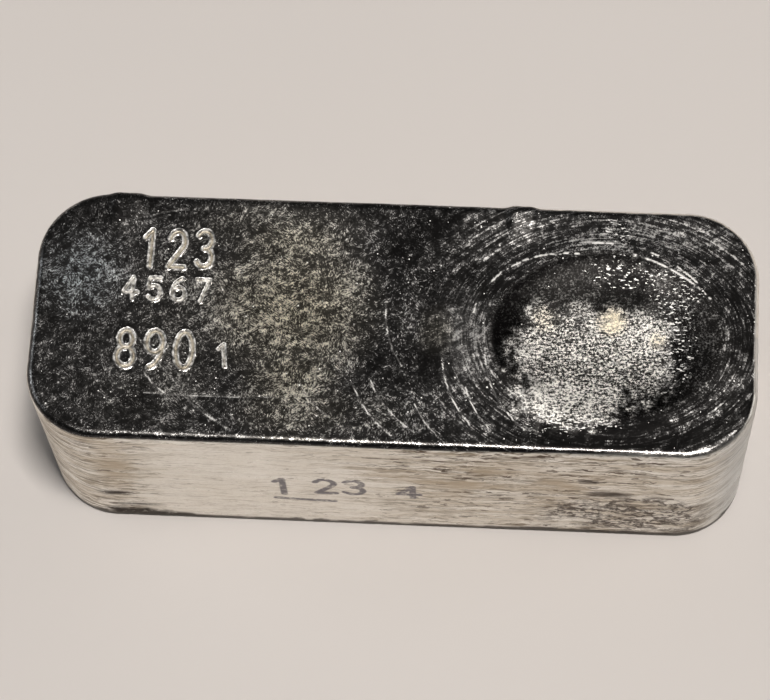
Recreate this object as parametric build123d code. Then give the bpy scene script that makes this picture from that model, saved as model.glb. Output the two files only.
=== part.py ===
from build123d import *
import math
import os

# A small tin ingot, cast in an open mould and turned out: a drafted block with round corners,
# a soft edge round its base and, on top, the face that set in the open air. All sizes in mm.
# The origin is the middle of the base, +X runs along the length and +Z points up.

# Block, as the mould shapes it
length = 103.2             # along X, at the rim
width = 37.9               # along Y, at the rim
height = 34.4              # base to rim
corner_radius = 10.4       # upright corners, at the rim
draft_angle = 0.8          # lean of the walls, wider at the rim, in degrees
base_edge_radius = 0.6     # where the walls meet the floor of the mould
rim_radius = 1.3           # where the free metal drew away from the wall and rounded itself

# Shrinkage hollow, where the metal set last
hollow_x = 30.2            # middle of the hollow, measured from the middle of the block
hollow_y = -0.7
hollow_length = 33.0       # oval, crest to crest
hollow_width = 25.6
hollow_depth = 1.0         # below the face around it
hollow_flatness = 2.6      # 2 is a round bowl, and more gives a flatter bottom and steeper walls
bank_height = 0.20         # soft crest that runs round the hollow
bank_reach = 3.2           # how far out the crest fades

# Slow waves that froze into the open face
sag_depth = 0.45           # dishing of the whole face
swell_height = 0.14        # long swells that cross the block
swell_length = 27.0
swell_angle = 24.0         # direction they travel, from +X, in degrees
ripple_height = 0.05       # rings that spread from the hollow
ripple_length = 7.5
ripple_reach = 17.0        # how far out they fade

# Overflow beads, where a little metal lapped over the back rim
left_bead_x = -39.1        # middle of each bead, measured from the middle of the block
left_bead_length = 6.4
right_bead_x = 17.6
right_bead_length = 5.4
bead_thickness = 2.2
bead_rise = 0.45           # how far a bead stands above the rim
bead_reach = 0.15          # how far it bulges past the wall

# How the open face is drawn: the spacing of its heights, its closeness, and its overhang
face_step = 2.4
face_tolerance = 0.02
face_overhang = 4.0
face_evenness = (1, 1, 1)


def crest_distance(x, y):
    """Place on the hollow's oval: 0 in its middle and 1 on the crest of its bank."""
    return math.hypot((x - hollow_x) / (hollow_length / 2), (y - hollow_y) / (hollow_width / 2))


def open_face_height(x, y):
    """Height of the set face over one point of the plan."""
    inward_x = max(0.0, 1 - (2 * x / length) ** 2)
    inward_y = max(0.0, 1 - (2 * y / width) ** 2)
    inward = inward_x * inward_y
    travel = x * math.cos(math.radians(swell_angle)) + y * math.sin(math.radians(swell_angle))
    swell = swell_height * math.sin(math.tau * travel / swell_length)

    around = crest_distance(x, y)
    past_crest = (around - 1) * (hollow_length + hollow_width) / 4
    sink = hollow_depth * max(0.0, 1 - around ** hollow_flatness) ** 2
    bank = bank_height * math.exp(-(past_crest / bank_reach) ** 2)
    ripple = ripple_height * math.sin(math.tau * past_crest / ripple_length)
    ripple *= math.exp(-abs(past_crest) / ripple_reach) * min(1.0, around)
    return height - sink + bank + (swell + ripple - sag_depth) * inward


def open_face():
    """Smooth sheet through the heights, wide enough to overhang the block on every side."""
    reach_x = length / 2 + face_overhang
    reach_y = width / 2 + face_overhang
    steps_x = math.ceil(2 * reach_x / face_step)
    steps_y = math.ceil(2 * reach_y / face_step)
    xs = [reach_x * (2 * i / steps_x - 1) for i in range(steps_x + 1)]
    ys = [reach_y * (2 * j / steps_y - 1) for j in range(steps_y + 1)]
    heights = [[Vector(x, y, open_face_height(x, y)) for y in ys] for x in xs]
    return Face.make_surface_from_array_of_points(
        heights, tol=face_tolerance, smoothing=face_evenness, max_deg=5
    )


def drafted_block(top):
    """Block to any height, with the rim outline drawn in by the draft down to the base."""
    inset = height * math.tan(math.radians(draft_angle))
    base = RectangleRounded(length - 2 * inset, width - 2 * inset, corner_radius - inset)
    return extrude(base, amount=top, taper=-draft_angle)


def overflow_bead(x, bead_length):
    """Round-ended lap of metal that lies along the back rim."""
    half_profile = split(SlotOverall(bead_length, bead_thickness), bisect_by=Plane.XZ)
    bead = revolve(half_profile, Axis.X)
    middle_y = width / 2 + bead_reach - bead_thickness / 2
    return Pos(x, middle_y, height + bead_rise - bead_thickness / 2) * bead


def build_ingot():
    face_range = hollow_depth + bank_height + swell_height + sag_depth
    above_face = Solid.extrude(open_face(), Vector(0, 0, 2 * face_range + height))
    ingot = drafted_block(height + face_range) - above_face

    rim = ingot.edges().filter_by(lambda edge: edge.center().Z > height - face_range)
    ingot = fillet(rim, rim_radius)
    ingot = fillet(ingot.edges().group_by(Axis.Z)[0], base_edge_radius)

    ingot += overflow_bead(left_bead_x, left_bead_length)
    ingot += overflow_bead(right_bead_x, right_bead_length)
    return ingot


ingot = build_ingot()
ingot.label = "ingot"

os.makedirs("parts", exist_ok=True)
export_step(ingot, "parts/ingot.step")
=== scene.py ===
"""Small cast tin ingot on a pale floor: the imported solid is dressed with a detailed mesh.

Lengths in this script are millimetres, in the ingot's own frame: +X along its length, +Z up,
origin in the middle of its base. They become metres where an object is made.
"""
import math

import bmesh
import bpy
import numpy as np
from mathutils import Matrix, Vector
from mathutils.geometry import delaunay_2d_cdt


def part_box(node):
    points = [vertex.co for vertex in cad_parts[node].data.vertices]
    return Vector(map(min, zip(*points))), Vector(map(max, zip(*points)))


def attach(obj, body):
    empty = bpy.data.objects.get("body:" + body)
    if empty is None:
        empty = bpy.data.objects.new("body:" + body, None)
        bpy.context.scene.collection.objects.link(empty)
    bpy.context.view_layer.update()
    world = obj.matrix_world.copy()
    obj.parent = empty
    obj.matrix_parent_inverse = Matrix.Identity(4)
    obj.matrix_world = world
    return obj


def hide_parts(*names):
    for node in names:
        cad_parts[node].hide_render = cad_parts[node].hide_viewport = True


MM = 0.001
SEED = 11

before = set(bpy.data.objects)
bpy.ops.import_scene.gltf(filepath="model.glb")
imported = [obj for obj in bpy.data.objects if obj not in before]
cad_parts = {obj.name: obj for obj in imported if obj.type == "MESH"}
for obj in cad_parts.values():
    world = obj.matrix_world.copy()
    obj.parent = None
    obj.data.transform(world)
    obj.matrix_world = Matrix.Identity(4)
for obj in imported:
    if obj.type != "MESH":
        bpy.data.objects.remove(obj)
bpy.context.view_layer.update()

# Sizes of the ingot, the same as its solid's
ingot_low, ingot_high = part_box("ingot")
half_length = ingot_high.x / MM
half_width = -ingot_low.y / MM
crown = ingot_high.z / MM          # top of the overflow beads
bead_rise = 0.45
bead_reach = ingot_high.y / MM - half_width
rim_beads = ((-39.1, 6.4), (17.6, 5.4))    # middle and length of each bead, along X
bead_onto_face = 7.0               # how far a bead spreads inwards, and how far down the wall
bead_down_wall = 3.2
rim_height = crown - bead_rise
rim_radius = 1.3
corner_radius = 10.4
draft = math.tan(math.radians(0.8))
base_round = 0.6

hollow = (30.2, -0.7)              # middle of the shrinkage hollow
hollow_half = (16.5, 12.8)         # middle to crest
hollow_depth = 1.0
hollow_flatness = 2.6
bank_height = 0.20
bank_reach = 3.2
sag_depth = 0.45
swell_height = 0.14
swell_length = 27.0
swell_angle = math.radians(24.0)

# Fine relief of the open face
ring_spacing = 4.3                 # low steps round the hollow
ring_height = 0.006
front_ring_height = 0.030          # added on the left front side of the hollow
front_ring_bearing = (3.75, .8)    # middle and width of that side, in radians round the hollow
ring_fade = 16.0
wave_spacing = 1.5                 # small waves between the rings
wave_height = 0.0025
back_wave_height = 0.005           # added on the right back side of the hollow
back_wave_bearing = (1.2, 1.1)
lump_height = 0.030
dimple_height = 0.012
frost_grain = 0.045
shrink_ridge = 0.012
crest_ridge = 0.025
scratch_depth = 0.03
rim_waver = 0.08                   # unevenness of the rim round
rim_nick = 0.05

# Punched digits
stamp_depth = 0.30
small_stamp_depth = stamp_depth * 0.8
tall_stroke = 0.31                 # half the width of a punched stroke
small_stroke = 0.23
lip_height = 0.05                  # metal pushed up beside a stroke
lip_width = 0.13

# Relief of the mould wall
lap_height = 0.035
fold_depth = 0.10
pit_depth = 0.16
wall_inset = 0.05                  # keeps the laps inside the solid
ink_stroke = 0.52                  # half the width of a written stroke

# Spacing of the mesh on each surface, and how far a finer mesh reaches from the strokes
rim_step = 0.42
top_step = 0.38
wall_step = 0.62
base_step = 2.5
stroke_step = 0.13
line_step = 0.2
tall_near = 0.95
small_near = 0.8
line_near = 0.32
ink_near = 0.75


# Noise and shaping
def lattice_value(ix, iy, iz, seed):
    """Random number from 0 to 1 for each cell corner."""
    h = (ix * 374761393 + iy * 668265263 + iz * 2147483647 + seed * 1274126177) & 0xFFFFFFFF
    h = ((h ^ (h >> 13)) * 1103515245) & 0xFFFFFFFF
    h = ((h ^ (h >> 16)) * 2654435761) & 0xFFFFFFFF
    return ((h ^ (h >> 15)) & 0xFFFFFF) / float(0xFFFFFF)


def noise(points, size, seed=0, octaves=1):
    """Smooth noise from -1 to 1. size is the width of its largest lumps, one number or one per axis."""
    octave_shift = 17.3
    total, reach = 0.0, 0.0
    for octave in range(octaves):
        p = points * 2 ** octave / np.asarray(size, float) + octave_shift * octave
        cell = np.floor(p).astype(np.int64)
        f = p - cell
        f = f * f * f * (f * (f * 6 - 15) + 10)
        value = 0.0
        for corner in range(8):
            dx, dy, dz = corner & 1, corner >> 1 & 1, corner >> 2 & 1
            weight = (f[:, 0] if dx else 1 - f[:, 0]) * (f[:, 1] if dy else 1 - f[:, 1])
            weight = weight * (f[:, 2] if dz else 1 - f[:, 2])
            value = value + weight * lattice_value(cell[:, 0] + dx, cell[:, 1] + dy, cell[:, 2] + dz,
                                                   seed + 31 * octave + SEED)
        total = total + (2 * value - 1) / 2 ** octave
        reach += 1 / 2 ** octave
    return total / reach


def ramp(low, high, value):
    """0 below low, 1 above high and smooth between."""
    t = np.clip((value - low) / (high - low), 0, 1)
    return t * t * (3 - 2 * t)


def band(value, middle, width):
    """1 at the middle value, fading to 0 on both sides of it."""
    return np.exp(-((value - middle) / width) ** 2)


def spot(points, centre, half):
    """1 in the middle of an oval patch, fading to 0 at its edge."""
    away = sum(((points[:, i] - centre[i]) / half[i]) ** 2 for i in range(len(centre)))
    return np.clip(1 - away, 0, 1)


def spots(points, zones):
    """Several patches together, each given by its centre, half sizes and strength."""
    return sum(strength * spot(points, centre, half) for centre, half, strength in zones)


# Digits, as strokes in a cell one wide and one high
def arc(cx, cy, rx, ry, start, end):
    """Part of an oval, with a point about every 18 degrees."""
    count = max(3, int(abs(end - start) / 18))
    angles = np.radians(np.linspace(start, end, count + 1))
    return np.column_stack([cx + rx * np.cos(angles), cy + ry * np.sin(angles)])


def line(*points):
    return np.array(points, float)


DIGITS = {
    "0": [arc(.5, .5, .42, .5, 90, 450)],
    "1": [line((.22, .8), (.55, 1), (.55, 0))],
    "2": [arc(.5, .72, .4, .28, 165, -30), line((.85, .58), (.1, 0), (.9, 0))],
    "3": [arc(.48, .75, .38, .25, 150, -90), arc(.48, .26, .42, .26, 90, -150)],
    "4": [line((.68, 0), (.68, 1), (.08, .3), (.95, .3))],
    "5": [line((.85, 1), (.2, 1), (.14, .56)), arc(.48, .32, .42, .32, 140, -145)],
    "6": [arc(.5, .3, .4, .3, 0, 360), arc(.92, .38, .82, .66, 180, 105)],
    "7": [line((.1, 1), (.9, 1), (.38, 0))],
    "8": [arc(.5, .76, .33, .24, 0, 360), arc(.5, .27, .42, .27, 0, 360)],
    "9": [arc(.5, .7, .4, .3, 0, 360), arc(.08, .62, .82, .66, 0, -75)],
}


def write(text, left, bottom, width, height, gap, lean=0.0, wander=0.0, seed=0):
    """Strokes of a row of digits: where its first cell stands, the cell's size and the gaps."""
    rng = np.random.default_rng(SEED + seed)
    strokes, x = [], left
    for digit in text:
        turn = lean + wander * rng.uniform(-1, 1)
        shift = wander * height * rng.uniform(-1, 1, 2)
        for stroke in DIGITS[digit]:
            p = (stroke - .5) * (width, height)
            p = p @ np.array([[math.cos(turn), math.sin(turn)], [-math.sin(turn), math.cos(turn)]])
            strokes.append(p + (x + width / 2, bottom + height / 2) + shift)
        x += width + gap
    return strokes


def stroke_distance(points, strokes):
    """Distance of each point to the nearest stroke, in the plane of the strokes."""
    best = np.full(len(points), 1e9)
    for stroke in strokes:
        for a, b in zip(stroke[:-1], stroke[1:]):
            ab = b - a
            t = np.clip((points - a) @ ab / max(ab @ ab, 1e-12), 0, 1)
            best = np.minimum(best, np.hypot(*(points - a - t[:, None] * ab).T))
    return best


def bow(start, end, bulge):
    """Curved stroke between two points; a positive bulge lies to the left of the way along it."""
    start, end = np.array(start, float), np.array(end, float)
    way = end - start
    left = np.array([-way[1], way[0]]) / np.hypot(*way)
    t = np.linspace(0, 1, 7)[:, None]
    return start + way * t + left * (4 * bulge * t * (1 - t))


# Punched digits on the open face, in X and Y
tall_stamps = (write("123", -36.8, 7.6, 2.7, 5.5, 1.3, wander=.02, seed=1)
               + write("890", -39.2, -8.0, 2.9, 5.5, 1.35, wander=.02, seed=2))
small_stamps = (write("4567", -38.9, 2.4, 2.3, 3.3, 1.15, wander=.02, seed=3)
                + write("1", -24.9, -7.4, 2.3, 3.3, 1.0, lean=.1, seed=4))

# Marker writing on the front wall, in X and Z
ink_strokes = (write("1", -17.4, 13.0, 3.4, 6.6, 1.0, wander=.04, seed=5)
               + write("23", -11.0, 13.8, 3.4, 5.8, 0.7, wander=.04, seed=6)
               + write("4", 0.8, 13.2, 3.4, 4.8, 1.0, wander=.04, seed=7)
               + [line((-16.8, 10.9), (-12.0, 10.4), (-8.4, 10.3))])

# Long scratches, the lines where the metal shrank in steps, and the ridges along the crest
scratches = [bow((-36.6, -2.9), (-22.6, -16.9), -.6), bow((-36.7, 14.9), (-30.1, 16.4), .3),
             bow((-34.6, -11.9), (-16.5, -11.9), -.2)]
shrink_lines = [bow((-12.8, -9.2), (-8.6, -14.4), -.4), bow((-5.2, -9.5), (.6, -17.0), -.7),
                bow((-3.0, -8.3), (3.8, -16.4), -.8), bow((7.1, -4.9), (11.4, -14.8), -.9),
                bow((10.6, -9.2), (14.4, -15.6), -.5), bow((13.1, -4.2), (19.2, -15.4), -1.4),
                bow((-34.8, -8.6), (-31.6, -11.8), -.3), bow((-29.8, -11.1), (-21.6, -17.2), -.5),
                bow((-1.2, 3.0), (1.5, -6.4), -.8), bow((3.6, -12.0), (7.6, -17.3), -.4)]
crest_lines = [bow((13.0, 6.1), (17.6, 10.1), .5), bow((17.7, 10.3), (25.8, 11.7), .5),
               bow((27.6, 13.4), (32.0, 13.3), .1), bow((33.7, 11.8), (44.6, 5.4), .9),
               bow((36.1, 12.2), (42.7, 7.8), .4), bow((11.2, 1.5), (12.3, 5.2), .2)]

# Zones of the open face, in X and Y: centre, half sizes and then strengths.
# Those of the skin are the lightness that it gains and its olive tint.
base_lightness = .295
skin_patches = (
    ((-44, 6), (7.5, 8), .20, 0), ((-42, 15.5), (10, 5), -.12, 0), ((-44, -11), (10, 9), -.04, 0),
    ((-29, 1), (9, 15), .13, .2), ((-34, -12), (12, 6), .05, .1), ((-14, 2), (13.5, 14), .31, 1),
    ((-14, -12.5), (9, 7), .24, .6), ((-17, 14.5), (15, 5), .16, .4), ((6, -1), (3, 4.5), .12, .5),
    ((11, -2), (5, 10), .30, 0), ((6, -13), (11, 6), .12, 0), ((29, -16), (15, 4), -.28, 0),
    ((47, -4), (6, 12), -.06, 0), ((39, -13), (9, 4.5), -.18, 0), ((16, -12), (5.5, 5), -.14, 0),
    ((-4, -14), (7, 5), .12, .2), ((17, 14), (8, 5), .14, 0), ((33, 15), (14, 4.5), .28, 0),
    ((43, 13), (8, 7), .22, 0))
lightness_patches = [(centre, half, lightness) for centre, half, lightness, _ in skin_patches]
olive_patches = [(centre, half, olive) for centre, half, _, olive in skin_patches]
frost_patches = (((25.0, -3.9), (9.8, 10.0)), ((25.4, -10.2), (9.0, 5.6)),
                 ((33.2, -.6), (6.6, 6.4)), ((36, -6), (4, 5)))
frost_clusters = (((23.5, -10.2), (10, 4.4), 1), ((18.2, -3.0), (3, 7), .6))
# Warm spots in the frost: painted reflections of the overhead lamps
lamp_reflection_spots = (((30.8, 1.9), (2.6, 2.6), 1.0), ((21.4, 1.8), (2.4, 2.4), .45),
              ((37.5, -.9), (1.7, 1.7), .6))
# Patches with dashes of painted glint
painted_fleck_patches = (((32, 9.3), (6, 3.2), 1), ((39.5, -1.5), (4.2, 9), 1), ((26, -14.1), (9, 1.9), 1),
                 ((31, 15), (3, 3), 1), ((40, 7), (5, 4), 1))
calm_zone = ((9, -1.5), (6.5, 9))
# Bluish patch at the left end of the open face: a painted reflection of a window
window_reflection_corner = ((-45, 6), (8, 9))
pale_arc_zone = ((-7, -1.5), (6, 10))

# Arcs round the hollow: distance outside its crest, width and change of lightness
pale_arc = (18.2, 1.5, .14)
dark_arc = (13.9, 2.9, -.17)

# Zones of the front wall, in X and Z
soot_spots = (((-40.6, 10.2), (3.2, 1.3), 1), ((-37.5, 5.4), (4.5, .6), .9))
left_stain = ((-39.6, 22), (3.4, 13))
upper_stain = ((15, 21), (27, 11))
rough_patch = ((36, 9), (11, 8))
pitted_patch = ((34.5, 8), (14, 11))
dark_lap_spots = (((28.2, 23.2), (1.7, .8), 3), ((31.5, 18.2), (4, 1.6), 1))


# Mesh: wall, top and base patches, each a triangulation, welded along their rings
class Outline:
    """Rim outline, walked by length from the middle of the back, with offsets inwards."""

    def __init__(self):
        self.straight_x = 2 * (half_length - corner_radius)
        self.straight_y = 2 * (half_width - corner_radius)
        self.arc = corner_radius * math.pi / 2
        self.total = 2 * (self.straight_x + self.straight_y) + 4 * self.arc

    def point(self, s):
        """Position and outward direction at length s, as two arrays."""
        s = np.mod(np.asarray(s, float) + self.straight_x / 2, self.total)
        pos, out = np.zeros((len(s), 2)), np.zeros((len(s), 2))
        cx, cy = half_length - corner_radius, half_width - corner_radius
        start = 0.0
        # back, right corner, right end, front corner and so on, clockwise seen from above
        for side in range(4):
            run = self.straight_x if side % 2 == 0 else self.straight_y
            angle = math.radians(90 - 90 * side)
            normal = np.array([math.cos(angle), math.sin(angle)])
            along = np.array([normal[1], -normal[0]])
            corner = np.array([cx * (1 if side in (0, 1) else -1), cy * (1 if side in (0, 3) else -1)])
            t = s - start
            on = (t >= 0) & (t < run)
            pos[on] = corner + corner_radius * normal + (t[on] - run)[:, None] * along
            out[on] = normal
            start += run
            t = s - start
            on = (t >= 0) & (t < self.arc)
            turn = angle - t[on] / corner_radius
            out[on] = np.column_stack([np.cos(turn), np.sin(turn)])
            pos[on] = corner + corner_radius * out[on]
            start += self.arc
        return pos, out


outline = Outline()
foot_arc = base_round * math.pi / 2
rim_arc = rim_radius * math.pi / 2
wall_face = rim_height - rim_radius - base_round
wall_top = foot_arc + wall_face + rim_arc


def wall_profile(v):
    """Inset and height of the wall at length v up it: base round, drafted wall, rim round."""
    inset = rim_height * draft
    turn = np.clip(v / base_round, 0, math.pi / 2)
    d = inset + base_round * (1 - np.sin(turn)) - np.clip(v - foot_arc, 0, wall_face) * draft
    d = np.where(v > foot_arc, np.maximum(d, 0), d)
    z = base_round * (1 - np.cos(turn)) + np.clip(v - foot_arc, 0, wall_face)
    roll = np.clip((v - foot_arc - wall_face) / rim_radius, 0, math.pi / 2)
    d = np.where(roll > 0, rim_radius * (1 - np.cos(roll)), d)
    z = z + rim_radius * np.sin(roll)
    return d, z


def hexagons(low, high, step):
    """Points in staggered rows over a rectangle."""
    rows = np.arange(low[1], high[1], step * math.sqrt(3) / 2)
    columns = np.arange(low[0], high[0], step)
    x, y = np.meshgrid(columns, rows)
    x = x + step / 2 * (np.arange(len(rows)) % 2)[:, None]
    return np.column_stack([x.ravel(), y.ravel()])


def refine(points, strokes, reach, step):
    """The points, with those near the strokes swapped for finer ones."""
    every = np.vstack(strokes)
    fine = hexagons(every.min(0) - reach, every.max(0) + reach, step)
    fine = fine[stroke_distance(fine, strokes) < reach]
    near = np.all((points > every.min(0) - 2 * reach) & (points < every.max(0) + 2 * reach), axis=1)
    keep = np.ones(len(points), bool)
    keep[near] = stroke_distance(points[near], strokes) > reach + step / 2
    return np.vstack([points[keep], fine])


def triangulate(ring, inner):
    """Triangles over a closed ring of points and the points inside it."""
    count = len(ring)
    every = [Vector(p) for p in np.vstack([ring, inner])]
    edges = [(i, (i + 1) % count) for i in range(count)]
    out = delaunay_2d_cdt(every, edges, [], 1, 1e-7, False)
    return np.array([p[:] for p in out[0]]), out[2]


def inside_distance(points, inset):
    """Distance inwards from the rim outline drawn in by inset; negative outside it."""
    q = np.abs(points) - (half_length - corner_radius, half_width - corner_radius)
    away = np.hypot(*np.maximum(q, 0).T) + np.minimum(q.max(1), 0)
    return corner_radius - inset - away


def flat_patch(inset, height, ring_count, step, strokes=()):
    """Level patch inside a ring of the rim outline."""
    ring_gap = 0.7 * min(step, rim_step)
    pos, out = outline.point(np.arange(ring_count) * outline.total / ring_count)
    ring = pos - out * inset
    inner = hexagons((-half_length, -half_width), (half_length, half_width), step)
    inner = inner[inside_distance(inner, inset) > ring_gap]
    for group, reach, step_near in strokes:
        inner = refine(inner, group, reach, step_near)
    flat, faces = triangulate(ring, inner)
    return np.column_stack([flat, np.full(len(flat), height)]), faces


def front_strokes_unrolled():
    """The written strokes, moved from X and Z to length around and length up the wall."""
    front_middle = outline.total / 2
    lift = foot_arc - base_round
    return [np.column_stack([front_middle - stroke[:, 0], stroke[:, 1] + lift])
            for stroke in ink_strokes]


def wall_patch(ring_count):
    """The wall, with its base round and rim round, unrolled, triangulated and wrapped back."""
    foot_rows_low, foot_rows_high = 0.25, 1.05
    first_free_row, roll_gap = 1.15, 0.3
    roll_start = wall_top - rim_arc
    seam_gap = 0.4 * wall_step
    around = np.linspace(0, outline.total, ring_count + 1)
    up = np.linspace(0, wall_top, int(wall_top / wall_step) + 1)[1:-1]
    ring = np.vstack([np.column_stack([around, np.zeros_like(around)]),
                      np.column_stack([np.full_like(up, outline.total), up]),
                      np.column_stack([around[::-1], np.full_like(around, wall_top)]),
                      np.column_stack([np.zeros_like(up), up[::-1]])])
    inner = hexagons((seam_gap, 0), (outline.total - seam_gap, wall_top), wall_step)
    inner = inner[(inner[:, 1] > first_free_row) & (inner[:, 1] < roll_start - roll_gap)]
    row_heights = np.concatenate([np.linspace(foot_rows_low, foot_rows_high, 3),
                                  np.linspace(roll_start, wall_top, 9)[:-1]])
    stations = np.arange(rim_step, outline.total - rim_step / 2, rim_step)
    rows = [np.column_stack([stations, np.full(len(stations), v)]) for v in row_heights]
    inner = refine(np.vstack([inner] + rows), front_strokes_unrolled(), ink_near, stroke_step)
    flat, faces = triangulate(ring, inner)
    pos, out = outline.point(flat[:, 0])
    d, z = wall_profile(flat[:, 1])
    return np.column_stack([pos - out * d[:, None], z]), faces


def build_blank():
    """The smooth ingot as one welded mesh, before any relief."""
    ring_count = int(outline.total / rim_step)
    top = flat_patch(rim_radius, rim_height, ring_count, top_step,
                     ((tall_stamps, tall_near, stroke_step), (small_stamps, small_near, stroke_step),
                      (scratches + shrink_lines + crest_lines, line_near, line_step)))
    wall = wall_patch(ring_count)
    base = flat_patch(rim_height * draft + base_round, 0.0, ring_count, base_step)
    bm = bmesh.new()
    for (points, faces), flip in ((top, False), (wall, True), (base, True)):
        verts = [bm.verts.new(p) for p in points]
        for face in faces:
            loop = [verts[i] for i in face]
            bm.faces.new(loop[::-1] if flip else loop)
    bmesh.ops.remove_doubles(bm, verts=bm.verts, dist=1e-4)
    bmesh.ops.recalc_face_normals(bm, faces=bm.faces)
    return bm


# Relief, as heights over the smooth ingot
def steps(travel, length):
    """Waves that rise slowly and drop off sharply, from 0 to 1."""
    rise = .86
    part = np.mod(travel / length, 1.0)
    return np.where(part < rise, part / rise, (1 - part) / (1 - rise))


def measure(p, n):
    """Everything that the relief and the maps need to know about each point of the blank."""
    x, y, z = p.T
    high_up = z > rim_height / 2
    m = {"p": p, "x": x, "y": y, "z": z, "tilt": n[:, 2]}
    m["flat"] = p[:, :2]
    m["side"] = np.column_stack([x, z])
    m["top"] = ramp(.45, .95, n[:, 2]) * high_up
    # The dark skin runs down the rim round, further at the left than at the right: that band is a painted
    # dark reflection
    skin_edge = .40 + .42 * ramp(0, 34, x)
    m["skin"] = ramp(skin_edge - .03, skin_edge + .06, n[:, 2]) * high_up
    m["wall"] = ramp(.5, .9, np.hypot(n[:, 0], n[:, 1])) * ramp(0.0, 0.8, z)
    m["inward"] = np.clip(1 - (x / half_length) ** 2, 0, 1) * np.clip(1 - (y / half_width) ** 2, 0, 1)

    across, along = (x - hollow[0]) / hollow_half[0], (y - hollow[1]) / hollow_half[1]
    m["around"] = np.hypot(across, along)               # 1 on the crest of the hollow's bank
    m["past"] = (m["around"] - 1) * sum(hollow_half) / 2
    m["bearing"] = np.arctan2(along, across)

    on_top, on_front = m["top"] > 0, (y < 0) & (m["wall"] > 0)
    lines = (("tall", "flat", on_top, tall_stamps), ("small", "flat", on_top, small_stamps),
             ("scratch", "flat", on_top, scratches), ("shrink", "flat", on_top, shrink_lines),
             ("crest", "flat", on_top, crest_lines), ("ink_way", "side", on_front, ink_strokes))
    for name, plane, where, strokes in lines:
        m[name] = np.full(len(p), 1e3)
        m[name][where] = stroke_distance(m[plane][where], strokes)

    edge = np.min([np.hypot((x - centre[0]) / half[0], (y - centre[1]) / half[1])
                   for centre, half in frost_patches], axis=0)
    edge = edge + .28 * noise(p, 4.0, seed=15, octaves=2) + .30 * noise(p, .9, seed=26, octaves=2)
    m["frost"] = (1 - ramp(.62, 1.12, edge)) * m["top"]
    return m


def open_face_relief(m):
    """Waves, hollow, rings and grain of the face that set in the open air."""
    p, x, y, past, frost = m["p"], m["x"], m["y"], m["past"], m["frost"]
    travel = x * math.cos(swell_angle) + y * math.sin(swell_angle)
    swell = swell_height * np.sin(2 * math.pi * travel / swell_length)
    sink = hollow_depth * np.clip(1 - m["around"] ** hollow_flatness, 0, 1) ** 2
    bank = bank_height * band(past, 0, bank_reach)
    height = (swell - sag_depth) * m["inward"] - sink + bank

    uneven = noise(p, 7.0, seed=1, octaves=2)
    left_front = band(np.mod(m["bearing"], 2 * math.pi), *front_ring_bearing)
    right_back = band(m["bearing"], *back_wave_bearing)
    rings = steps(past + 1.1 * uneven, ring_spacing) * (ring_height + front_ring_height * left_front)
    rings = rings * np.exp(-np.abs(past) / ring_fade)
    waves = np.sin(2 * math.pi * (past + .5 * uneven) / wave_spacing)
    waves = waves * (wave_height + back_wave_height * right_back)
    height = height + (rings + waves) * ramp(-1.5, 1.0, past) * ramp(0, .25, m["inward"])

    lumps = lump_height * noise(p, 4.5, seed=2, octaves=2) + dimple_height * noise(p, 1.3, seed=3)
    grain = frost_grain * noise(p, 1.1, seed=4, octaves=2)
    return height + lumps * (1 - .4 * frost) + grain * frost


def crest_breaks(m):
    """1 where the ridges along the crest are whole and 0 where they are broken off."""
    return ramp(-.16, .10, noise(m["p"], .8, seed=22, octaves=2))


def punched(m):
    """Grooves of the punched digits, with the metal that they pushed up, and the fine lines."""
    height = 0.0
    worn = 1 + .30 * noise(m["p"], 1.0, seed=23, octaves=2)
    crumbled = .25 + 1.2 * ramp(-.3, .3, noise(m["p"], .8, seed=28))
    for way, half, depth in ((m["tall"], tall_stroke, stamp_depth),
                             (m["small"], small_stroke, small_stamp_depth)):
        height = height - depth * worn * (1 - ramp(.35 * half, 1.15 * half, way * worn))
        height = height + lip_height * crumbled * band(way, 1.5 * half, lip_width)
    height = height + shrink_ridge * (1 - ramp(.02, .22, m["shrink"]))
    height = height + crest_ridge * crest_breaks(m) * (1 - ramp(.02, .30, m["crest"]))
    return height - scratch_depth * (1 - ramp(.03, .15, m["scratch"]))


def beads(m):
    """How far along and over the back rim the small laps reach, from 0 to 1."""
    reach = 0.0
    for x, length in rim_beads:
        reach = reach + 1 - ramp(.2 * length, .52 * length, np.abs(m["x"] - x))
    near_rim = ramp(half_width - bead_onto_face, half_width - .4, m["y"])
    return reach * near_rim * ramp(rim_height - bead_down_wall, rim_height - .8, m["z"])


def wall_relief(m):
    """Laps where the metal froze in bands against the mould, folds and a rough patch."""
    p = m["p"]
    laps = lap_height * noise(p, (16, 16, 1.3), seed=6, octaves=2)
    folds = 1 - ramp(0, .05, np.abs(noise(p, (11, 11, 1.6), seed=7, octaves=2)))
    folds = folds * ramp(.0, .5, noise(p, (14, 14, 6), seed=8) + .35)
    rough = ramp(0, .5, spot(m["side"], *rough_patch) * (m["y"] < 0))
    pits = ramp(.25, .7, noise(p, 1.2, seed=9, octaves=2)) * rough
    return laps - fold_depth * folds - pit_depth * pits - wall_inset


def shape(m, n):
    """Moved points: the open face moves up and down, the wall in and out, and nothing leaves the box."""
    up = open_face_relief(m) + punched(m)
    rim = rim_waver * noise(m["p"], 3.2, seed=5, octaves=2) + rim_nick * noise(m["p"], 1.0, seed=25)
    rim = rim * m["top"] * (1 - m["top"]) * 4
    lap = beads(m)
    p = m["p"] + n * (wall_relief(m) * m["wall"] + rim)[:, None]
    p[:, 1] += bead_reach * lap
    p[:, 2] += up * m["top"] + bead_rise * lap
    low = np.array([-half_length, -half_width, 0.0])
    high = np.array([half_length, half_width + bead_reach, crown])
    return np.clip(p, low, high)


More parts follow.
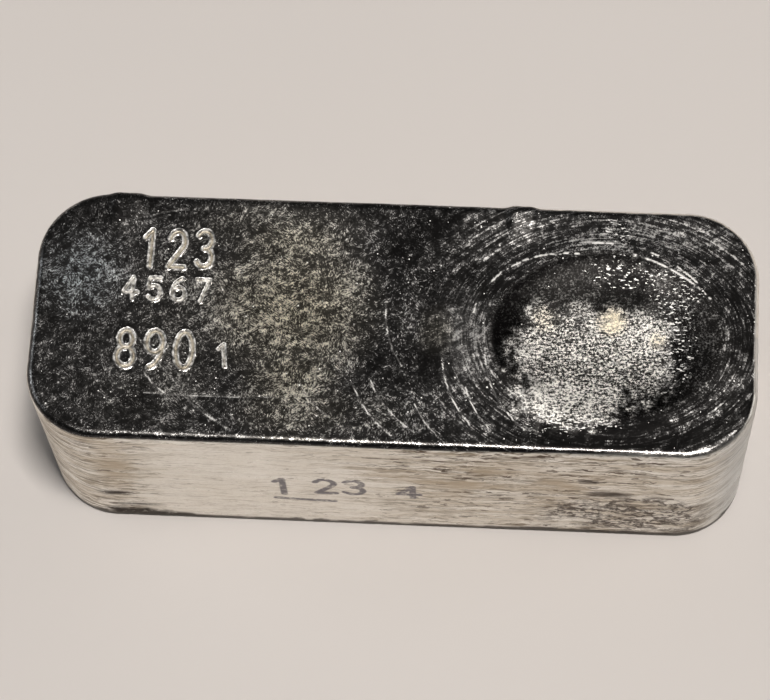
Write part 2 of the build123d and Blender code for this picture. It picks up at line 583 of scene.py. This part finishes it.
# Maps, one number a point, that the finish follows
def skin_lightness(m, inside_crest, lamp_reflection):
    """How bright each zone of the open face is, before its fine pattern, with painted shade and painted
    lamp reflections in it.
    """
    p, x, y, flat, past = m["p"], m["x"], m["y"], m["flat"], m["past"]
    light = base_lightness + .20 * noise(p, 6.0, seed=16, octaves=3)
    light = light + .12 * noise(p, 2.2, seed=27, octaves=2)
    light = light + .035 * (1 - ramp(-29, -20, x))
    distance, width, change = pale_arc
    light = light + change * band(past, distance, width) * spot(flat, *pale_arc_zone)
    distance, width, change = dark_arc
    slanting_y = y + .5 * (15 - y) * (x < 2)
    light = light + change * band(past, distance, width) * (1 - ramp(6, 14, x)) * ramp(-16, -9, slanting_y)
    light = light + spots(flat, lightness_patches)
    # Inside the crest the skin is dark tarnish, lighter towards the right; at the back its darkness is
    # partly painted shade against the lamp's highlight
    light = light + (.12 + .10 * ramp(34, 40, x) - light) * inside_crest

    # The frost darkens towards its back: painted shade against the lamp's highlight on that slope
    frosted = .12 + .44 * spots(flat, frost_clusters) - .24 * ramp(0, 6, y)
    frosted = frosted + .34 * noise(p, 3.2, seed=24, octaves=2)
    light = light + m["frost"] * frosted
    # Painted dark reflection: the skin darkens where it rolls over the rim
    light = light * (1 - .8 * (1 - ramp(.75, .97, m["tilt"])))
    # Painted lamp reflections brighten the frost
    return light + .45 * lamp_reflection * m["frost"]


def painted_glints(m):
    """Painted highlights: bright lines along the crest, the shrink lines and, weaker, the scratches."""
    dashes = ramp(-.1, .35, noise(m["p"], .9, seed=21, octaves=2))
    crest = (1 - ramp(.06, .19, m["crest"])) * crest_breaks(m)
    shrink = (1 - ramp(.04, .14, m["shrink"])) * (.25 + .75 * dashes)
    scratch = .6 * (1 - ramp(.03, .11, m["scratch"])) * (.4 + .6 * dashes)
    return np.clip(np.maximum(np.maximum(crest, shrink), scratch), 0, 1)


def open_face_maps(m):
    """Maps of the open face, with those of the punched digits."""
    x, y, flat, top = m["x"], m["y"], m["flat"], m["top"]
    way = np.minimum(m["tall"] / tall_stroke, m["small"] / small_stroke)
    halo = .35 * (1 - ramp(1, 4.2, way)) + .65 * (1 - ramp(1.2, 2.2, way))
    inside_crest = 1 - ramp(-.6, .6, m["past"])
    # Painted lamp reflections, in the frost
    lamp_reflection = np.clip(spots(flat, lamp_reflection_spots), 0, 1)
    frost_in_front = m["frost"] * (1 - .85 * ramp(1, 6, y))
    right_side = ramp(34, 41, x) * ramp(-11, -6, y)
    return {
        "open_face": m["skin"],
        "light": np.clip(skin_lightness(m, inside_crest, lamp_reflection), 0, 1.2) * m["skin"],
        "frost": m["frost"],
        "groove": (1 - ramp(1.45, 1.8, way)) * top,
        "groove_floor": (1 - ramp(.45, .75, way)) * top * np.where(m["small"] < 1, .35, 1.0),
        "halo": halo * top,
        "calm": np.maximum(spot(flat, *calm_zone), .42 * (1 - ramp(-8, 2, x))) * top,
        # Painted reflection of a window, at the left end
        "window_reflection": spot(flat, *window_reflection_corner) * top,
        # Near-black ring: dark tarnish inside the crest that covers the frost at the back and is weaker at
        # the right; its depth is partly painted shade against the lamp's highlight
        "ring": inside_crest * (1 - frost_in_front) * top * (.97 - .52 * right_side),
        "olive": np.clip(spots(flat, olive_patches), 0, 1) * top,
        "painted_glint": painted_glints(m) * top,
        "painted_flecks": np.clip(spots(flat, painted_fleck_patches), 0, 1) * top,
        "lamp_reflection": lamp_reflection * m["frost"],
    }


def wall_maps(m):
    """Maps of the mould wall. Soot, stains, pits and writing lie on its front only."""
    p, x, y, z, side = m["p"], m["x"], m["y"], m["z"], m["side"]
    front = (y < 0) * m["wall"]
    soot_top = 4.8 - 2.6 * ramp(-40, -28, x) + .9 * noise(p, 1.6, seed=13, octaves=2)
    soot = (1 - ramp(.55, 1.0, z / soot_top)) * ramp(-43.5, -41, x) * (1 - ramp(-30, -26, x))
    soot = soot + spots(side, soot_spots)
    stain = spot(side, *left_stain) * (.8 + .4 * noise(p, (9, 9, 1.2), seed=14, octaves=2))
    stain = stain + spot(side, *upper_stain) * ramp(-.1, .4, noise(p, (8, 8, 2.5), seed=17, octaves=3))
    pitted = 2.2 * spot(side, *pitted_patch) * ramp(-.5, .2, noise(p, (4, 4, 2.2), seed=18, octaves=3))

    # Streaks are dense at both front corners and on the right half, and faint behind
    streaky = .10 + .64 * (1 - ramp(-41, -31, x)) + .52 * ramp(-13, 5, x) + .12 * ramp(38, 48, x)
    streaky = streaky + .22 * noise(p, (11, 11, 4), seed=19, octaves=2)
    streaky = streaky + .18 * ramp(12, 30, z) * ramp(-24, 0, x)
    behind = ramp(-11, -5, y)
    streaky = streaky * (1 - behind) + behind * (.08 + .26 * noise(p, (14, 14, 5), seed=29, octaves=2))
    streaky = np.clip(streaky, 0, 1)
    return {
        "soot": np.clip(soot, 0, 1) * front,
        "stain": np.clip(stain, 0, 1) * front,
        "pitted": np.clip(pitted, 0, 1) * front,
        "dark_laps": np.clip(spots(side, dark_lap_spots), 0, 1) * front,
        "streaky": streaky * m["wall"],
        "marked": streaky * (1 - .7 * ramp(40, 46, np.abs(x))) * m["wall"],
        # Dark band low on the wall: a painted contact shadow along the base
        "contact_shadow": 1 - ramp(1.3, 1.9, z + .5 * noise(p, 1.8, seed=20)),
        "grey": ramp(43, 50, x) * front,
        "ink": (1 - ramp(.8 * ink_stroke, 1.1 * ink_stroke, m["ink_way"])) * front,
    }


def swirl(m):
    """Coordinates that run round the hollow and outwards, for the lines that follow it."""
    turn_radius = 14
    return np.column_stack([turn_radius * np.cos(m["bearing"]), turn_radius * np.sin(m["bearing"]),
                            m["past"]])


def build_ingot():
    """The finished piece: the blank, moved by its relief, with its maps stored on the points."""
    bm = build_blank()
    mesh = bpy.data.meshes.new("cast_ingot")
    bm.to_mesh(mesh)
    bm.free()
    count = len(mesh.vertices)
    p, n = np.empty(count * 3), np.empty(count * 3)
    mesh.vertices.foreach_get("co", p)
    mesh.vertices.foreach_get("normal", n)
    p, n = p.reshape(-1, 3), n.reshape(-1, 3)
    m = measure(p, n)
    mesh.vertices.foreach_set("co", (shape(m, n) * MM).ravel())
    for name, values in {**open_face_maps(m), **wall_maps(m)}.items():
        layer = mesh.attributes.new(name, "FLOAT", "POINT")
        layer.data.foreach_set("value", np.asarray(values, np.float32))
    layer = mesh.attributes.new("swirl", "FLOAT_VECTOR", "POINT")
    layer.data.foreach_set("vector", swirl(m).astype(np.float32).ravel())
    mesh.polygons.foreach_set("use_smooth", np.ones(len(mesh.polygons), bool))
    mesh.update()
    piece = bpy.data.objects.new("cast_ingot", mesh)
    bpy.context.scene.collection.objects.link(piece)
    return piece


# Colours of the open face: its shades, its bare metal, its punched grooves, and painted reflections and
# glints
TARNISH = (.050, .047, .046, 1)
THIN_TARNISH = (.100, .096, .092, 1)
OLIVE_TARNISH = (.125, .115, .092, 1)
FROST_SHADE = (.030, .029, .028, 1)
# Near-black inside the crest: dark tarnish, deepened as painted shade against the lamp's highlight
RING_SHADE = (.004, .0038, .0037, 1)
BARE_TIN = (1.0, .985, .965, 1)
OLIVE_TIN = (1.0, .935, .76, 1)
# Blue of the painted window reflection
WINDOW_REFLECTION_BLUE = (.82, .91, .96, 1)
FROSTED_TIN = (1.0, .98, .93, 1)
RING_TIN = (.045, .044, .042, 1)
# Warm tint of the painted lamp reflections
LAMP_REFLECTION_TINT = (.96, .86, .66, 1)
# White of the painted glints
PAINTED_SPARK = (1.0, .99, .96, 1)
# Bright struck metal of the groove sides, partly a painted highlight
STRUCK_TIN_HIGHLIGHT = (1.0, .985, .955, 1)
GROOVE_DIRT = (.20, .17, .12, 1)
GROOVE_TIN = (.62, .56, .45, 1)

# Colours of the mould wall, and of what lies on it
WALL_PALE = (.95, .925, .875, 1)
WALL_DULL = (.89, .86, .80, 1)
WALL_GRIT = (.70, .66, .60, 1)
WALL_TAN = (.64, .575, .475, 1)
STREAK_BROWN = (.34, .28, .20, 1)
HAIR_BROWN = (.20, .16, .115, 1)
SCORE_BROWN = (.24, .19, .135, 1)
MARK_BROWN = (.085, .056, .036, 1)
STAIN_BROWN = (.55, .47, .365, 1)
CORNER_GREY = (.60, .63, .65, 1)
PIT_BROWN = (.13, .11, .095, 1)
LAP_BROWN = (.07, .055, .045, 1)
SOOT = (.055, .045, .037, 1)
# Painted shadow along the foot of the wall
FOOT_SHADOW = (.10, .09, .08, 1)
INK = (.205, .195, .215, 1)
PAPER = ((.640, .606, .582, 1), (.670, .636, .612, 1))


class Nodes:
    """Short calls for the nodes of one material."""

    def __init__(self, name):
        self.material = bpy.data.materials.new(name)
        self.material.use_nodes = True
        self.tree = self.material.node_tree
        self.shader = self.tree.nodes["Principled BSDF"]

    def new(self, kind, inputs=(), **settings):
        node = self.tree.nodes.new("ShaderNode" + kind)
        for key, value in settings.items():
            setattr(node, key, value)
        for key, value in dict(inputs).items():
            self.join(value, node.inputs[key])
        return node

    def join(self, value, socket):
        if isinstance(value, bpy.types.NodeSocket):
            self.tree.links.new(value, socket)
        else:
            socket.default_value = value

    def object_place(self):
        return self.new("TexCoord").outputs["Object"]

    def map(self, name):
        return self.new("Attribute", attribute_name=name).outputs["Fac"]

    def math(self, operation, *values, clamp=False):
        node = self.new("Math", dict(enumerate(values)), operation=operation, use_clamp=clamp)
        return node.outputs[0]

    def plus(self, first, *others):
        for other in others:
            first = self.math("ADD", first, other)
        return first

    def minus(self, first, second):
        return self.math("SUBTRACT", first, second)

    def times(self, first, *others):
        for other in others:
            first = self.math("MULTIPLY", first, other)
        return first

    def largest(self, first, *others):
        for other in others:
            first = self.math("MAXIMUM", first, other)
        return first

    def off_middle(self, value):
        """How far a noise is from its middle value: 0 along thin winding lines."""
        return self.math("ABSOLUTE", self.minus(value, .5))

    def mix(self, factor, a, b):
        """Colour that goes from a to b."""
        node = self.new("Mix", data_type="RGBA")
        for socket, value in ((node.inputs[0], factor), (node.inputs[6], a), (node.inputs[7], b)):
            self.join(value, socket)
        return node.outputs[2]

    def blend(self, factor, a, b):
        """Number that goes from a to b."""
        node = self.new("Mix", data_type="FLOAT")
        for socket, value in ((node.inputs[0], factor), (node.inputs[2], a), (node.inputs[3], b)):
            self.join(value, socket)
        return node.outputs[0]

    def step(self, value, low, high):
        return self.new("MapRange", {"Value": value, "From Min": low, "From Max": high}).outputs[0]

    def scaled(self, vector, factor):
        return self.new("VectorMath", {0: vector, 3: factor}, operation="SCALE").outputs[0]

    def moved(self, vector, by):
        return self.new("VectorMath", {0: vector, 1: by}, operation="ADD").outputs[0]

    def stretched(self, vector, scale):
        """Coordinates multiplied by a factor for each axis."""
        return self.new("Mapping", {"Vector": vector, "Scale": scale}).outputs[0]

    def drawn_out(self, vector, angle, along, across):
        """Coordinates in which a noise comes out drawn along one direction."""
        node = self.new("Mapping", {"Vector": vector, "Rotation": (0, 0, math.radians(angle)),
                                    "Scale": (along, across, across)}, vector_type="TEXTURE")
        return node.outputs[0]

    def noise(self, vector, scale=1.0, detail=2.0, roughness=.5):
        node = self.new("TexNoise", {"Vector": vector, "Scale": scale, "Detail": detail,
                                     "Roughness": roughness})
        return node.outputs[0]


def cast_tin():
    """Tarnished mirror skin with frosted grains on the open face, and dull streaked mould walls."""
    k = Nodes("cast_tin")
    here = k.scaled(k.object_place(), 1 / MM)
    skin_colour, skin_rough, skin_bump, skin_metal = open_skin(k, here)
    wall_colour, wall_rough, wall_bump = mould_wall(k, here)
    face = k.map("open_face")
    # Dirt on the wall keeps its dark colour at a glancing view
    glancing = k.mix(k.blend(face, .5, 0.0), (1, 1, 1, 1), wall_colour)
    height = k.blend(face, wall_bump, skin_bump)
    finish = {
        "Base Color": k.mix(face, wall_colour, skin_colour),
        "Roughness": k.blend(face, wall_rough, skin_rough),
        "Specular Tint": glancing,
        "Metallic": k.blend(face, 1.0, skin_metal),
        "Normal": k.new("Bump", {"Height": height, "Distance": MM, "Strength": 1.0}).outputs[0],
    }
    for name, value in finish.items():
        k.join(value, k.shader.inputs[name])
    return k.material


def skin_cover(k, here, warped):
    """Fine pattern of the skin: needles that lean three ways, rings round the hollow, and grains."""
    ring = k.map("ring")
    leans = [k.noise(k.drawn_out(warped, angle, along, .13), detail=3, roughness=.65)
             for angle, along in ((24, .52), (-38, .52), (82, .46))]
    needles = k.blend(k.step(k.noise(here, .26, detail=3), .47, .51), leans[0], leans[1])
    needles = k.blend(k.step(k.noise(here, .37), .51, .55), needles, leans[2])

    round_hollow = k.new("Attribute", attribute_name="swirl").outputs["Vector"]
    ring_lines = k.noise(k.stretched(round_hollow, (.24, .24, 3.4)), detail=3, roughness=.65)
    ring_lines = k.plus(k.times(k.minus(ring_lines, .5), 1.15), .5)
    near_hollow = k.step(k.new("SeparateXYZ", {0: here}).outputs[0], 3.0, 11.0)
    needles = k.blend(k.times(near_hollow, .62), needles, ring_lines)

    grains = k.noise(here, 3.6, detail=4, roughness=.75)
    needles = k.blend(ring, needles, grains)
    coarse = k.noise(here, 1.0, detail=3)
    return k.plus(k.times(needles, .46), k.times(grains, .32), k.times(coarse, .22))


def frost_cover(k, here, warped, crystals):
    """Fine pattern of the frost: crystals, a weave along X, and thin dark lines between them."""
    woven = k.noise(k.drawn_out(here, 4, 1.1, .22), detail=3, roughness=.7)
    crinkle = k.off_middle(k.noise(warped, 1.9, detail=3, roughness=.6))
    crinkle = k.blend(k.step(crinkle, .0, .045), .36, .56)
    return k.plus(k.times(crystals, .48), k.times(woven, .22), k.times(crinkle, .30))


def painted_sparks(k, here):
    """Painted glints: white points all over, dashes in the fleck patches and the bright lines along the
    crest, shrink lines and scratches.
    """
    painted_flecks = k.map("painted_flecks")
    cells = k.new("TexVoronoi", {"Vector": here, "Scale": 1.1}, feature="F1")
    chance = k.new("SeparateColor", {0: cells.outputs["Color"]}).outputs[0]
    point = k.math("LESS_THAN", cells.outputs["Distance"], k.times(k.math("POWER", chance, 3.0), .14))
    dash = k.noise(k.drawn_out(here, -6, .75, .28), detail=2, roughness=.6)
    dash = k.math("GREATER_THAN", k.plus(dash, k.times(k.blend(painted_flecks, .0, .50), .25)), .72)
    return k.largest(point, k.times(dash, k.step(painted_flecks, .05, .3)), k.map("painted_glint"))


def open_skin(k, here):
    """Colour, roughness, height and metal share of the open face: bright needles on a dark mirror."""
    light, frost, ring, olive = k.map("light"), k.map("frost"), k.map("ring"), k.map("olive")
    lamp_reflection, groove, floor = k.map("lamp_reflection"), k.map("groove"), k.map("groove_floor")
    drift = k.new("TexNoise", {"Vector": here, "Scale": .28, "Detail": 2.0}).outputs["Color"]
    warped = k.moved(here, k.scaled(drift, 1.3))
    crystals = k.noise(here, 2.8, detail=5, roughness=.78)
    cover = k.blend(frost, skin_cover(k, here, warped), frost_cover(k, here, warped, crystals))

    # Share of bright metal at each point, from the zone's lightness and the fine pattern
    cloud = k.noise(k.drawn_out(warped, 33, 2.6, .8), detail=3, roughness=.6)
    cloud = k.times(k.minus(cloud, .5), k.blend(frost, .9, .3))
    contrast = k.blend(frost, k.blend(k.map("calm"), 6.6, 3.9), 20.0)
    spread = k.plus(k.times(k.minus(cover, .5), contrast), cloud)
    share = k.math("ADD", k.minus(light, k.times(k.map("halo"), .45)), spread, clamp=True)
    share = k.math("POWER", share, k.blend(frost, 2.3, 2.1))
    # In the painted lamp reflections more of the frost is bright
    share = k.largest(share, k.times(k.step(lamp_reflection, .35, 1.0), k.step(crystals, .25, .60)))

    dark = k.mix(k.step(light, .08, .36), TARNISH, THIN_TARNISH)
    for mask, tint in ((olive, OLIVE_TARNISH), (frost, FROST_SHADE), (ring, RING_SHADE)):
        dark = k.mix(mask, dark, tint)
    bright = k.mix(olive, BARE_TIN, OLIVE_TIN)
    # The blue tint here is a painted reflection of a window, and the warm one a painted reflection of the
    # lamps
    for mask, tint in ((k.times(k.map("window_reflection"), .8), WINDOW_REFLECTION_BLUE), (frost, FROSTED_TIN),
                       (ring, RING_TIN), (lamp_reflection, LAMP_REFLECTION_TINT)):
        bright = k.mix(mask, bright, tint)

    # The punched grooves are struck bright along their sides, partly a painted highlight, and stained on
    # their floors
    white = painted_sparks(k, here)
    struck = k.step(k.noise(here, 1.5, detail=3, roughness=.6), .40, .58)
    colour = k.mix(share, dark, bright)
    # Painted glints in white
    colour = k.mix(white, colour, PAINTED_SPARK)
    colour = k.mix(k.times(groove, k.blend(struck, .15, 1.0)), colour, STRUCK_TIN_HIGHLIGHT)
    stained = k.mix(k.step(crystals, .38, .62), GROOVE_DIRT, GROOVE_TIN)
    colour = k.mix(k.times(floor, .9), colour, stained)

    marked = k.largest(white, groove, floor)
    mirror_rough = k.blend(frost, k.blend(ring, .20, .34), .50)
    skin_rough = k.blend(share, mirror_rough, k.blend(frost, .37, .60))
    rough = k.blend(marked, skin_rough, k.blend(white, k.blend(floor, .28, .45), .46))
    bump = k.times(cover, k.blend(frost, k.blend(light, .008, .020), .05))
    bump = k.plus(bump, k.times(k.largest(groove, floor), crystals, .04))

    # Painted highlights: the glints, the struck groove sides and the brightest frost are partly white and
    # not metal, so they read bright from any side
    frosted = k.times(frost, k.step(share, .5, 1.0), .30)
    painted_sparkle = k.largest(k.times(white, .75), k.times(groove, struck, .5), frosted)
    return colour, rough, bump, k.minus(1.0, painted_sparkle)


def mould_wall(k, here):
    """Colour, roughness and height of the wall: pale dull metal with drawn-out laps and stains, and a
    painted shadow along its foot.
    """
    streaky, marked, pitted = k.map("streaky"), k.map("marked"), k.map("pitted")
    sway = k.new("CombineXYZ", {2: k.times(k.noise(here, .35), 1.6)}).outputs[0]
    bent = k.moved(here, sway)

    def streaks(scale, detail, roughness):
        return k.noise(k.stretched(bent, scale), detail=detail, roughness=roughness)

    broad = streaks((.06, .06, .60), 4, .65)
    streak = streaks((.12, .12, 1.35), 4, .65)
    hair = streaks((.24, .24, 2.5), 3, .6)
    short = streaks((.33, .33, 1.2), 3, .62)
    score = streaks((.07, .07, 1.1), 3, .6)
    crumple = streaks((.36, .36, .66), 3, .6)
    rough_grain = k.noise(k.stretched(here, (.8, .8, 1.1)), detail=5, roughness=.7)
    grit = k.noise(here, 2.2, detail=3, roughness=.7)

    # Where each kind of mark lies; a streaky place has more of it
    lines = k.step(streak, k.blend(streaky, .64, .52), k.blend(streaky, .69, .57))
    hairs = k.step(hair, k.blend(streaky, .61, .535), k.blend(streaky, .65, .575))
    scores = k.minus(1.0, k.step(k.off_middle(score), .004, .020))
    marks = k.step(short, k.blend(marked, .68, .555), k.blend(marked, .69, .567))
    crumples = k.minus(1.0, k.step(k.off_middle(crumple), .018, .060))
    pits = k.math("MULTIPLY", pitted, k.largest(crumples, k.step(rough_grain, .52, .60)), clamp=True)
    sooty = k.step(k.noise(here, 1.6, detail=4), .22, .44)
    sooty = k.math("MULTIPLY", k.map("soot"), sooty, clamp=True)
    worn = k.step(k.noise(here, 1.1, detail=4, roughness=.6), .25, .50)

    colour = k.mix(k.step(k.noise(here, .12, detail=3), .35, .7), WALL_PALE, WALL_DULL)
    layers = (
        (k.times(k.step(grit, .45, .75), .5), WALL_GRIT),
        (k.times(k.step(broad, .44, .60), streaky), WALL_TAN),
        (k.times(lines, k.blend(streaky, .18, .75)), STREAK_BROWN),
        (k.times(hairs, k.blend(streaky, .15, .80)), HAIR_BROWN),
        (k.times(scores, k.blend(streaky, .32, .85)), SCORE_BROWN),
        (k.times(marks, k.blend(marked, .3, .95)), MARK_BROWN),
        (k.times(k.map("stain"), k.step(streak, .28, .58)), STAIN_BROWN),
        (k.times(k.map("grey"), .60), CORNER_GREY),
        (k.times(pits, .95), PIT_BROWN),
        (k.times(k.map("dark_laps"), k.step(streak, .25, .45)), LAP_BROWN),
        (sooty, SOOT),
        # painted contact shadow at the foot of the wall
        (k.times(k.map("contact_shadow"), .92), FOOT_SHADOW),
        (k.times(k.map("ink"), worn, .92), INK),
    )
    for mask, tint in layers:
        colour = k.mix(mask, colour, tint)
    rough = k.blend(k.step(streak, .35, .65), .27, .40)
    bump = k.plus(k.times(hair, .05), k.times(rough_grain, k.blend(pitted, .01, .22)))
    return colour, rough, bump


# Stage: floor, lamps, world and camera
def pale_floor():
    """Round sheet of pale paper, wide enough to fill the picture."""
    k = Nodes("pale_floor")
    tone = k.noise(k.object_place(), 9.0, detail=3)
    k.join(k.mix(tone, *PAPER), k.shader.inputs["Base Color"])
    k.shader.inputs["Roughness"].default_value = .9
    k.shader.inputs["Specular IOR Level"].default_value = .15
    bpy.ops.mesh.primitive_circle_add(vertices=96, radius=6.0, fill_type="NGON", location=(0, 0, 0))
    floor = bpy.context.object
    floor.name = "floor"
    floor.data.materials.append(k.material)
    return floor


def direction(azimuth, elevation):
    """Unit vector towards a place in the room. Azimuth 0 is the front, -Y, and 90 is +X."""
    a, e = math.radians(azimuth), math.radians(elevation)
    return Vector((math.sin(a) * math.cos(e), -math.cos(a) * math.cos(e), math.sin(e)))


def lamp(name, azimuth, elevation, distance, size, power, colour):
    """Square lamp aimed at the ingot; distance and size in metres."""
    light = bpy.data.lights.new(name, "AREA")
    light.size, light.energy, light.color = size, power, colour
    holder = bpy.data.objects.new(name, light)
    towards = direction(azimuth, elevation)
    holder.location = towards * distance
    holder.rotation_euler = towards.to_track_quat("Z", "Y").to_euler()
    bpy.context.scene.collection.objects.link(holder)


def studio():
    """A lamp overhead, a soft panel on each side, and a room that is pale low down and dark above."""
    lamp("overhead", azimuth=40, elevation=80, distance=1.3, size=.20, power=14,
         colour=(1.0, .955, .91))
    lamp("left_panel", azimuth=-100, elevation=30, distance=1.5, size=.7, power=2.5,
         colour=(.92, .96, 1.0))
    lamp("right_panel", azimuth=100, elevation=28, distance=1.5, size=.7, power=2.5,
         colour=(1.0, .97, .93))
    world = bpy.data.worlds.new("room")
    bpy.context.scene.world = world
    world.use_nodes = True
    tree = world.node_tree
    sky = tree.nodes["Background"]
    coords = tree.nodes.new("ShaderNodeTexCoord")
    parts = tree.nodes.new("ShaderNodeSeparateXYZ")
    fade = tree.nodes.new("ShaderNodeValToRGB")
    horizon, dark_above = fade.color_ramp.elements
    horizon.position, horizon.color = .02, (.45, .43, .41, 1)
    dark_above.position, dark_above.color = .40, (.050, .049, .049, 1)
    tree.links.new(coords.outputs["Generated"], parts.inputs[0])
    tree.links.new(parts.outputs[2], fade.inputs[0])
    tree.links.new(fade.outputs[0], sky.inputs["Color"])


def photo_camera():
    """Camera at the photograph's place: turn, height and roll in degrees, distances in millimetres."""
    turn, height, roll = 7.68, 67.95, -5.0
    distance, lens, sensor_width = 513.3, 158.0, 36.0
    aim = Vector((-2.82, 9.63, 0.0)) * MM
    back = direction(turn, height)
    right = (-back).cross(Vector((0, 0, 1))).normalized()
    up = right.cross(-back)
    r = math.radians(roll)
    right, up = right * math.cos(r) + up * math.sin(r), up * math.cos(r) - right * math.sin(r)
    data = bpy.data.cameras.new("camera")
    data.lens, data.sensor_width, data.clip_start, data.clip_end = lens, sensor_width, .01, 50.0
    camera = bpy.data.objects.new("camera", data)
    bpy.context.scene.collection.objects.link(camera)
    camera.matrix_world = Matrix.Translation(aim + back * distance * MM) @ Matrix(
        (right, up, back)).transposed().to_4x4()
    bpy.context.scene.camera = camera


piece = build_ingot()
piece.data.materials.append(cast_tin())
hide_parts("ingot")
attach(piece, "root")

pale_floor()
studio()
photo_camera()
bpy.context.scene.view_settings.view_transform = "Standard"
